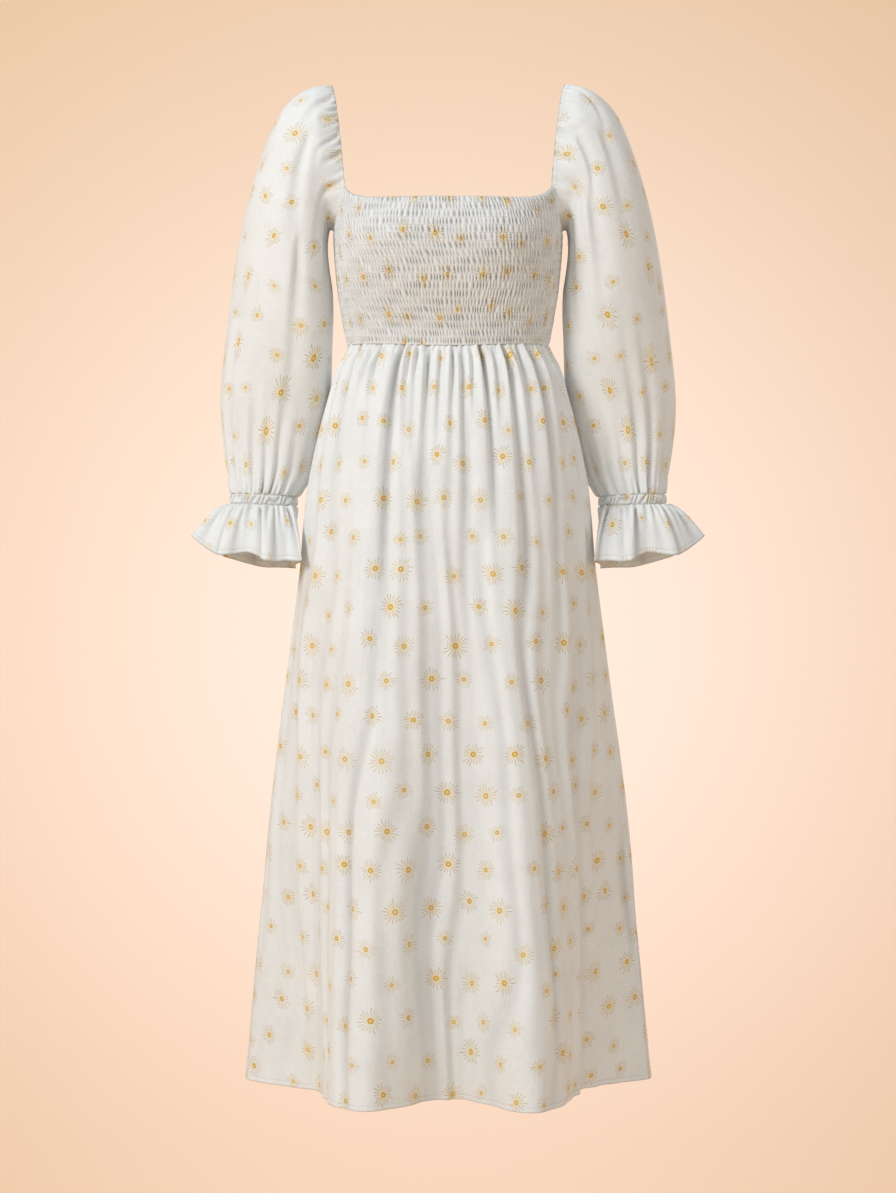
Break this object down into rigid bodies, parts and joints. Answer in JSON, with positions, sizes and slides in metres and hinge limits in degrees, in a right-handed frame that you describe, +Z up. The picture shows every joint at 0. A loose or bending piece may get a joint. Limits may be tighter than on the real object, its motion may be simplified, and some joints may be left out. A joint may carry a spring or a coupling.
{
  "type": "smocked midi dress",
  "caption": "Midi dress with a smocked square-neck bodice, full sleeves with elastic cuffs and ruffles, and a gathered A-line skirt, filled out as if worn.",
  "frame": {"origin": "midway between the two shoulder tops, where the wearer carries the dress", "axes": "+Z up, the front of the dress faces -Y, +X to the wearer's left"},
  "size_m": [0.6328, 0.3802, 1.2111],
  "materials": {
    "printed_cotton": "matte",
    "shirred_cotton": "matte"
  },
  "bodies": {
    "root": {"bodice_front": "shirred_cotton", "bodice_back": "shirred_cotton", "skirt_front": "printed_cotton", "skirt_back": "printed_cotton", "sleeve_left": "printed_cotton", "sleeve_right": "printed_cotton", "cuff_left": "shirred_cotton", "cuff_right": "shirred_cotton", "ruffle_left": "printed_cotton", "ruffle_right": "printed_cotton"}
  },
  "joints": []
}
